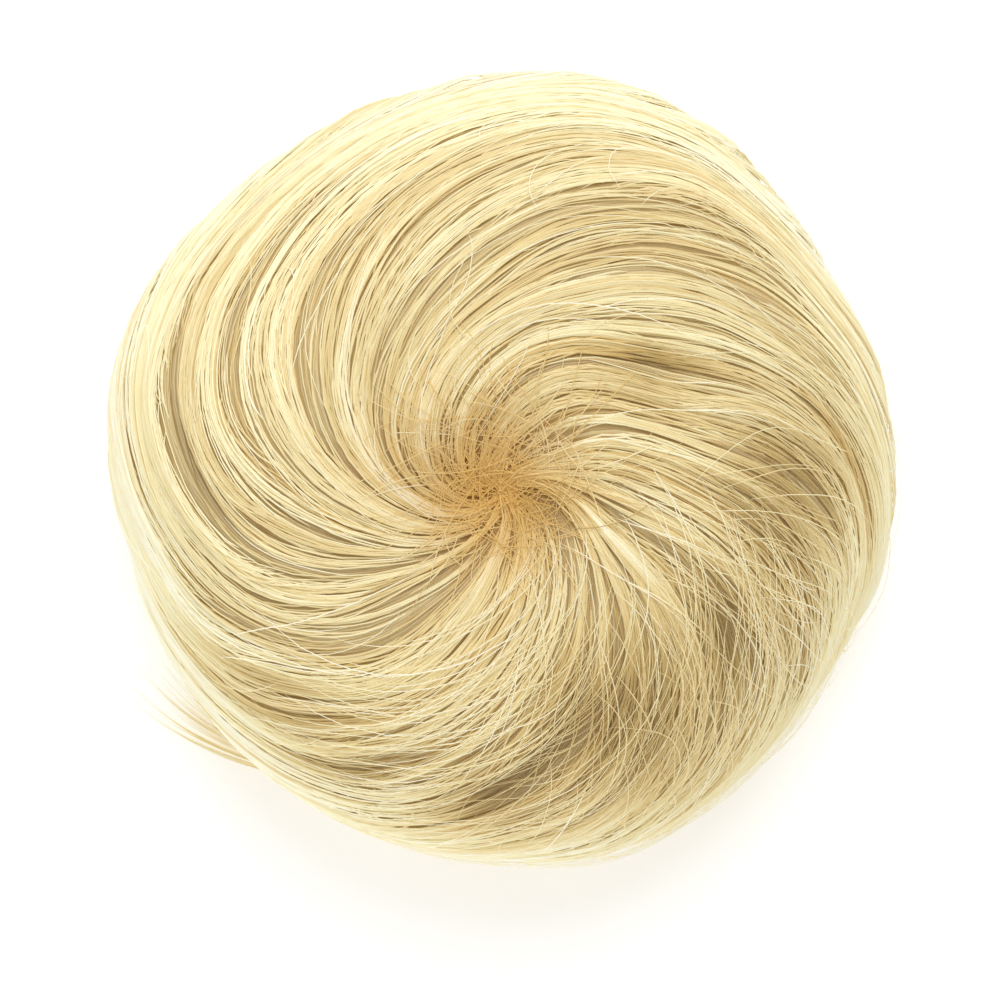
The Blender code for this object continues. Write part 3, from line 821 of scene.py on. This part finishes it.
def swirlStrands(layer):
    rng = np.random.default_rng(strands["seed"] + layer)
    count, each = strands["bundles"][layer], strands["perBundle"][layer]
    centreSpread, centrePlace = spreadByArea(rng, count, *strands["covers"])
    t = np.linspace(0, 1, strands["fineSteps"])
    low, high = strands["length"]
    length = rng.uniform(low, high, count)

    def perBundle(values):
        return values[:, None, None]

    def scatter(bundleSpread, ownSpread):  # a chance value of each bundle, and a smaller one of each hair
        return rng.normal(0, bundleSpread, (count, 1, 1)) + rng.normal(0, ownSpread, (count, each, 1))

    own = length[:, None] * rng.uniform(*strands["ownLength"], (count, each))
    perPlace = readGrid(hair["length"], centreSpread, centrePlace)
    shareOfPlace = own / perPlace[:, None]
    stagger = rng.normal(0, strands["stagger"], (count, each, 1))
    place = perBundle(centrePlace) + (t - 0.5) * shareOfPlace[..., None] + stagger
    place = np.clip(place, rng.uniform(*strands["topEnd"], (count, each, 1)), strands["lowEnd"])
    width = readGrid(hair["width"], np.broadcast_to(perBundle(centreSpread), place.shape), place)
    across = rng.uniform(-1, 1, (count, each, 1))
    halfWidth = perBundle(rng.uniform(*strands["halfWidth"], count))
    gather = 1 - rng.uniform(*strands["gather"], (count, 1, 1)) * np.abs(2 * t - 1) ** 2
    slant = np.radians(scatter(strands["slant"], strands["ownSlant"]))
    offset = across * halfWidth * gather + np.tan(slant) * (t - 0.5) * own[..., None]
    for k in range(2):
        swing = scatter(strands["swing"][0] / (k + 1), strands["swing"][1])
        offset = offset + swing * np.sin(6.28 * (k + 1) * (0.8 * t + rng.random((count, 1, 1))))
    offset = offset * np.clip(width / 0.00025, 0.15, 1)
    spread = perBundle(centreSpread) + offset / np.maximum(width, 0.00008)
    ends = np.clip(np.minimum(t, 1 - t) / strands["dive"], 0, 1)
    ends = ends * ends * (3 - 2 * ends)
    lift = strands["lift"][layer] + perBundle(np.abs(rng.normal(0, strands["liftSpread"], count)))
    lift = lift + strands["arch"] * (1 - across ** 2) + rng.normal(0, strands["ownLift"], (count, each, 1))
    lift = strands["endLift"] + (lift - strands["endLift"]) * ends
    uprights = readGrid(hair["outwards"], spread, place)
    points = readGrid(hair["points"], spread, place) + uprights * lift[..., None]
    tint = strands["tint"][layer] + scatter(strands["tintSpread"], strands["ownTintSpread"]) + 0 * t
    reach = readGrid(hair["reach"], spread, place)
    # streaks are hair colour; the patches add painted shade and painted light
    tint = tint + streakTint(spread, place) + paintedLightShadeTint(points)
    # painted shade in the grooves
    tint = tint + strands["foldPaintedShade"] * readGrid(hair["folds"], spread, place)
    # painted light: paler towards the rim
    tint = tint + paintedRimLight["change"] * np.clip((reach - paintedRimLight["reach"]) / (1 - paintedRimLight["reach"]), 0, 1)
    tint = tint + scatter(*strands["pitTintSpread"]) * np.exp(-(reach / 0.3) ** 2)
    isGolden = rng.random((count, 1, 1)) < strands["goldenShare"]
    golden = isGolden * rng.uniform(*strands["goldenTint"], (count, each, 1)) + 0 * t
    girth = np.clip(np.minimum(t, 1 - t) / strands["taper"], 0.15, 1) + 0 * tint
    fineSteps = strands["fineSteps"]
    points, uprights = pitWander(points, rng).reshape(-1, fineSteps, 3), uprights.reshape(-1, fineSteps, 3)
    points[..., 2] = np.maximum(points[..., 2], strands["floor"])
    extras = [values.reshape(-1, fineSteps) for values in (girth, tint, golden)]
    points, uprights, (girth, tint, golden) = evenSteps(points, uprights, extras, strands["steps"])
    return tubesFrom(strands["names"][layer], points, uprights, girth, tint, golden)


print("stage: strands")
strandPieces = [swirlStrands(layer) for layer in range(len(strands["names"]))]


# Stray hairs: each kind starts in its own zone and leaves the locks' direction by its slant

strays = {
    "name": "stray_hairs",
    "steps": 12,
    "fineSteps": 36,
    "thickness": 0.55,
    "tintSpread": 0.14,
    "floor": 0.0004,  # no hair comes nearer than this to the surface below
    "seed": 41,
    "kinds": (
        {"count": 170, "middle": (0.0, 0.0), "radius": 0.052, "length": (0.016, 0.042), "slant": (-16, 16),
         "curl": 22, "lift": (0.0008, 0.0014), "arch": 0.0009, "tint": 0.85, "golden": 0.0},
        {"count": 420, "middle": (0.024, -0.024), "radius": 0.024, "length": (0.014, 0.036), "slant": (-40, 24),
         "curl": 26, "lift": (0.0009, 0.0015), "arch": 0.0007, "tint": 0.88, "golden": 0.1},
    ),
    "tangle": {"count": 280, "middle": (0.0, -0.0020), "radius": 0.0105, "length": (0.005, 0.017),
               "curl": 50, "lift": (0.0003, 0.0012), "arch": 0.0010, "tint": 0.54, "golden": 0.95},
}

topRows = int(ringPlaces[equator] * bun["gridRows"])
topTree = kdtree.KDTree(topRows * bun["gridColumns"] // 4)
for row in range(topRows):
    for column in range(0, bun["gridColumns"], 4):
        x, y, z = hair["points"][row, column]
        topTree.insert((x, y, 0), row * bun["gridColumns"] + column)
topTree.balance()


def overSurface(x, y):  # the grid's spread and place nearest to a point seen from above
    row, column = divmod(topTree.find((x, y, 0))[1], bun["gridColumns"])
    return column * 360 / bun["gridColumns"], row / (bun["gridRows"] - 1)


def heightOver(x, y):
    near = topTree.find_n((x, y, 0), 3)
    weights = [1 / (distance + 0.0001) for _, _, distance in near]
    heights = [hair["points"][divmod(index, bun["gridColumns"])][2] for _, index, _ in near]
    return sum(w * z for w, z in zip(weights, heights)) / sum(weights)


def scatterDisc(rng, middle, radius, count):
    turn, out = rng.uniform(0, 2 * math.pi, count), radius * np.sqrt(rng.random(count))
    return middle[0] + out * np.cos(turn), middle[1] + out * np.sin(turn)


def strayLift(rng, kind, t):
    rest, bow = rng.uniform(*kind["lift"], (kind["count"], 1)), rng.random((kind["count"], 1))
    return rest + kind["arch"] * bow * np.sin(math.pi * t)


def combedStrays(rng, kind):  # they follow the locks at a slant
    count, fine = kind["count"], strays["fineSteps"]
    t = np.linspace(0, 1, fine)
    x, y = scatterDisc(rng, kind["middle"], kind["radius"], count)
    spread, place = np.array([overSurface(*spot) for spot in zip(x, y)]).T
    length = rng.uniform(*kind["length"], count)
    slant = np.radians(rng.uniform(*kind["slant"], count))
    curl = np.radians(rng.normal(0, kind["curl"], count))
    spreads, places = [spread], [place]
    for k in range(fine - 1):
        heading = slant + curl * (k / fine - 0.5)
        step = length / (fine - 1)
        spread = spread + np.sin(heading) * step / np.maximum(readGrid(hair["width"], spread, place), 0.00006)
        place = np.clip(place + np.cos(heading) * step / readGrid(hair["length"], spread, place), 0.005, 0.95)
        spreads.append(spread)
        places.append(place)
    spreads, places = np.array(spreads).T, np.array(places).T
    lift = strayLift(rng, kind, t)
    uprights = readGrid(hair["outwards"], spreads, places)
    return readGrid(hair["points"], spreads, places) + uprights * lift[..., None], uprights


def tangledStrays(rng, kind):  # they lie every way in the pit
    count, fine = kind["count"], strays["fineSteps"]
    t = np.linspace(0, 1, fine)
    x, y = scatterDisc(rng, kind["middle"], kind["radius"], count)
    length = rng.uniform(*kind["length"], (count, 1))
    heading = rng.uniform(0, 2 * math.pi, (count, 1)) + np.radians(rng.normal(0, kind["curl"], (count, 1))) * t
    x = x[:, None] + np.cumsum(np.cos(heading), axis=1) * length / fine
    y = y[:, None] + np.cumsum(np.sin(heading), axis=1) * length / fine
    height = np.array([[heightOver(*spot) for spot in zip(*line)] for line in zip(x, y)])
    smoothing = np.ones(7) / 7
    height = np.array([np.convolve(np.pad(line, 3, mode="edge"), smoothing, mode="valid") for line in height])
    lift = strayLift(rng, kind, t)
    points = np.stack([x, y, height + lift], axis=-1)
    return points, np.broadcast_to((0.0, 0.0, 1.0), points.shape)


def strayHairs():
    rng = np.random.default_rng(strays["seed"])
    kinds = [(combedStrays, kind) for kind in strays["kinds"]] + [(tangledStrays, strays["tangle"])]
    lines, upwards, tints, goldens = [], [], [], []
    for lay, kind in kinds:
        points, uprights = lay(rng, kind)
        lines.append(points)
        upwards.append(uprights)
        chance = rng.normal(0, strays["tintSpread"], (kind["count"], 1))
        # the stray hairs get the same painted shade and painted light from the patches
        tints.append(kind["tint"] + chance + paintedLightShadeTint(points))
        goldens.append(kind["golden"] * rng.random((kind["count"], 1)) + 0 * points[..., 0])
    points, uprights, tint, golden = (np.concatenate(parts) for parts in (lines, upwards, tints, goldens))
    t = np.linspace(0, 1, strays["fineSteps"])
    girth = np.clip(np.minimum(t, 1 - t) / 0.15, 0.3, 1) + 0 * tint
    points[..., 2] = np.maximum(points[..., 2], strays["floor"])
    extras = [girth, tint, golden]
    points, uprights, (girth, tint, golden) = evenSteps(points, uprights, extras, strays["steps"])
    return tubesFrom(strays["name"], points, uprights, girth, tint, golden, strays["thickness"])


print("stage: stray hairs")
strandPieces.append(strayHairs())


# Cap, band and comb underneath

capFinish = weaveMaterial("beige net", (0.70, 0.55, 0.36), (0.30, 0.21, 0.12), 620, 0.85)
bandFinish = weaveMaterial("beige elastic", (0.74, 0.60, 0.42), (0.46, 0.34, 0.21), 900, 0.8)

cap = {"columns": 240, "rows": 18, "wall": 0.0013, "gathers": 48, "gatherDepth": 0.00035, "side": 0.007}


def buildCap():
    outer = (capHigh[0] - capLow[0]) / 2
    angle = np.radians(np.linspace(0, 360, cap["columns"], endpoint=False))
    foot, shoulder = capLow[2], capLow[2] + cap["side"]
    rows = []
    steps = cap["rows"]
    sideRows = 6
    profile = [(1.0, foot + cap["side"] * k / sideRows, 0.0) for k in range(sideRows)]
    lifts = [math.radians(90 * k / steps) for k in range(steps + 1)]
    profile += [(math.cos(lift), shoulder, math.sin(lift)) for lift in lifts]
    wallOut, wallIn = [], []
    for across, base, up in profile:
        wallOut.append((outer * across, base + (capHigh[2] - shoulder) * up))
        wallIn.append(((outer - cap["wall"]) * across, base + (capHigh[2] - shoulder - cap["wall"]) * up))
    for radius, height in wallOut[::-1] + wallIn:
        fade = max(0.0, 1 - (height - foot) / 0.012) * min(1.0, radius / 0.01)
        pleat = cap["gatherDepth"] * fade * np.abs(np.sin(cap["gathers"] / 2 * angle))
        rows.append(ringOf(radius - pleat, height, angle))
    return closedGrid("net_cap_cloth", np.array(rows) + bun["axis"], capFinish)


band = {"columns": 480, "ruffles": 84, "depth": 0.00032, "round": 0.0009}


def buildBand():
    inner, outer = bun["bandRadius"] - 0.0036, bun["bandRadius"]
    top, edgeRound = bandHigh[2], band["round"]
    profile = []
    corners = ((outer, top, 0), (outer, 0.0, -90), (inner, 0.0, -180), (inner, top, -270))
    for radius, height, start in corners:
        sideways = -1 if radius == outer else 1
        upwards = 1 if height == 0.0 else -1
        for k in range(5):
            turn = math.radians(start + 90 - 90 * k / 4)
            profile.append((radius + edgeRound * (sideways + math.cos(turn)),
                            height + edgeRound * (upwards + math.sin(turn))))
    fine = []
    for (r0, z0), (r1, z1) in zip(profile, profile[1:] + profile[:1]):
        pieces = max(1, round(math.hypot(r1 - r0, z1 - z0) / 0.0012))
        fine += [(r0 + (r1 - r0) * k / pieces, z0 + (z1 - z0) * k / pieces) for k in range(pieces)]
    angle = np.radians(np.linspace(0, 360, band["columns"], endpoint=False))
    rows = []
    for radius, height in fine:
        middle = 1 - abs(2 * height / top - 1) ** 3
        pleat = band["depth"] * middle * (np.sin(band["ruffles"] * angle + 0.8 * np.sin(5 * angle)) - 1) / 2
        rows.append(ringOf(radius + pleat * (1 if radius > (inner + outer) / 2 else -1), height, angle))
    rows = np.array(rows) + bun["axis"]
    count, columns = rows.shape[:2]
    index = np.arange(count * columns).reshape(count, columns)
    down, right = np.roll(index, -1, axis=0), np.roll(index, -1, axis=1)
    faces = np.stack([index, down, np.roll(down, -1, axis=1), right], axis=-1).reshape(-1, 4)
    mesh = bpy.data.meshes.new("elastic_casing")
    mesh.from_pydata(rows.reshape(-1, 3), [], faces.tolist())
    mesh.shade_smooth()
    return meshObject("elastic_casing", mesh, bandFinish)


print("stage: cap, band and comb")
netCap = buildCap()
elasticCasing = buildBand()
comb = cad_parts["grip_comb"]
comb.data.materials.clear()
comb.data.materials.append(plasticMaterial())


# Wisp of hair that has slipped out under the rim

wisp = {
    "hairs": 64,
    "steps": 14,
    "course": ((0.900, 246), (0.925, 239), (0.965, 232), (1.010, 225), (1.050, 218), (1.080, 211.5)),
    "fan": 0.0034,
    "tint": 0.60,
    "thickness": 0.7,
    "seed": 5,
}


def buildWisp():
    rng = np.random.default_rng(wisp["seed"])
    count, fine = wisp["hairs"], 40
    t = np.linspace(0, 1, fine)
    reaches, directions = zip(*wisp["course"])
    knots = np.linspace(0, 1, len(reaches))
    start = rng.uniform(0, 0.12, (count, 1))
    end = rng.uniform(0.65, 1.10, (count, 1))
    at = start + (end - start) * t
    radius = bun["halfWidth"] * smoothThrough(knots, reaches, np.clip(at, 0, 1.1))
    angle = np.radians(smoothThrough(knots, directions, np.clip(at, 0, 1.1)))
    across, up = rng.uniform(-1, 1, (count, 1)), rng.random((count, 1))
    fan = across * wisp["fan"] * (0.45 + 0.9 * at ** 1.5) + rng.normal(0, 0.0006, (count, 1)) * at ** 2
    radius = radius + fan
    height = 0.0004 + 0.0019 * up * (1 - 0.7 * at) + 0.0012 * np.maximum(1 - 2.5 * at, 0) ** 2
    points = ringOf(radius, height, angle) + bun["axis"]
    tint = wisp["tint"] + rng.normal(0, 0.12, (count, 1)) + 0 * t
    girth = np.clip((1 - t) / 0.4, 0.2, 1) * 0.8 + 0 * tint
    uprights = np.broadcast_to((0.0, 0.0, 1.0), points.shape)
    points, uprights, (girth, tint) = evenSteps(points, uprights, [girth, tint], wisp["steps"])
    return tubesFrom("loose_wisp", points, uprights, girth, tint, thickness=wisp["thickness"])


print("stage: loose wisp")
looseWisp = buildWisp()


# Floor, light and camera

studio = {
    "pixel": 0.000142,
    "middle": (-0.00035, -0.0048),
    "focusHeight": 0.018,
    "distance": 0.75,
    "floorHalf": 3.0,
    "floorColour": (0.93, 0.93, 0.93),
    "floorGlow": 0.29,
    "world": 0.56,
    "key": {"place": (0.05, 0.42, 0.66), "size": 0.55, "power": 3.2},
    "fill": {"place": (-0.30, -0.45, 0.12), "size": 0.5, "power": 1.1},
}


def addLight(name, place, size, power):
    data = bpy.data.lights.new(name, "AREA")
    data.shape = "DISK"
    data.size = size
    data.energy = power
    light = bpy.data.objects.new(name, data)
    bpy.context.scene.collection.objects.link(light)
    light.location = place
    toMiddle = -light.location
    toMiddle.z += 0.03
    light.rotation_euler = toMiddle.to_track_quat("-Z", "Y").to_euler()


def buildStudio():
    made, nodes, links, shader = newMaterial("pale floor")
    shader.inputs["Base Color"].default_value = (*studio["floorColour"], 1)
    shader.inputs["Roughness"].default_value = 0.9
    shader.inputs["Specular IOR Level"].default_value = 0.0
    shader.inputs["Emission Color"].default_value = (1, 1, 1, 1)
    shader.inputs["Emission Strength"].default_value = studio["floorGlow"]
    mesh = bpy.data.meshes.new("floor")
    half = studio["floorHalf"]
    corners = [(-half, -half, 0), (half, -half, 0), (half, half, 0), (-half, half, 0)]
    mesh.from_pydata(corners, [], [(0, 1, 2, 3)])
    meshObject("floor", mesh, made)

    world = bpy.data.worlds.new("studio")
    bpy.context.scene.world = world
    world.use_nodes = True
    world.node_tree.nodes["Background"].inputs["Color"].default_value = (1, 1, 1, 1)
    world.node_tree.nodes["Background"].inputs["Strength"].default_value = studio["world"]
    for name in ("key", "fill"):
        addLight(name, **studio[name])

    data = bpy.data.cameras.new("camera")
    camera = bpy.data.objects.new("camera", data)
    bpy.context.scene.collection.objects.link(camera)
    camera.location = (studio["middle"][0], studio["middle"][1], studio["focusHeight"] + studio["distance"])
    data.sensor_width = 36
    data.lens = data.sensor_width * studio["distance"] / (studio["pixel"] * 1000)
    data.clip_start, data.clip_end = 0.01, 20
    bpy.context.scene.camera = camera
    bpy.context.scene.view_settings.view_transform = "Standard"


print("stage: studio")
buildStudio()

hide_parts("hair_swirl")
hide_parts("net_cap")
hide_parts("elastic_band")
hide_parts("loose_lock")
for piece, finishSlot in [(hairBody, "blonde_hair"), (netCap, "beige_net"), (elasticCasing, "beige_elastic"),
                          (looseWisp, "blonde_hair")] + [(piece, "blonde_hair") for piece in strandPieces]:
    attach(piece, "root")
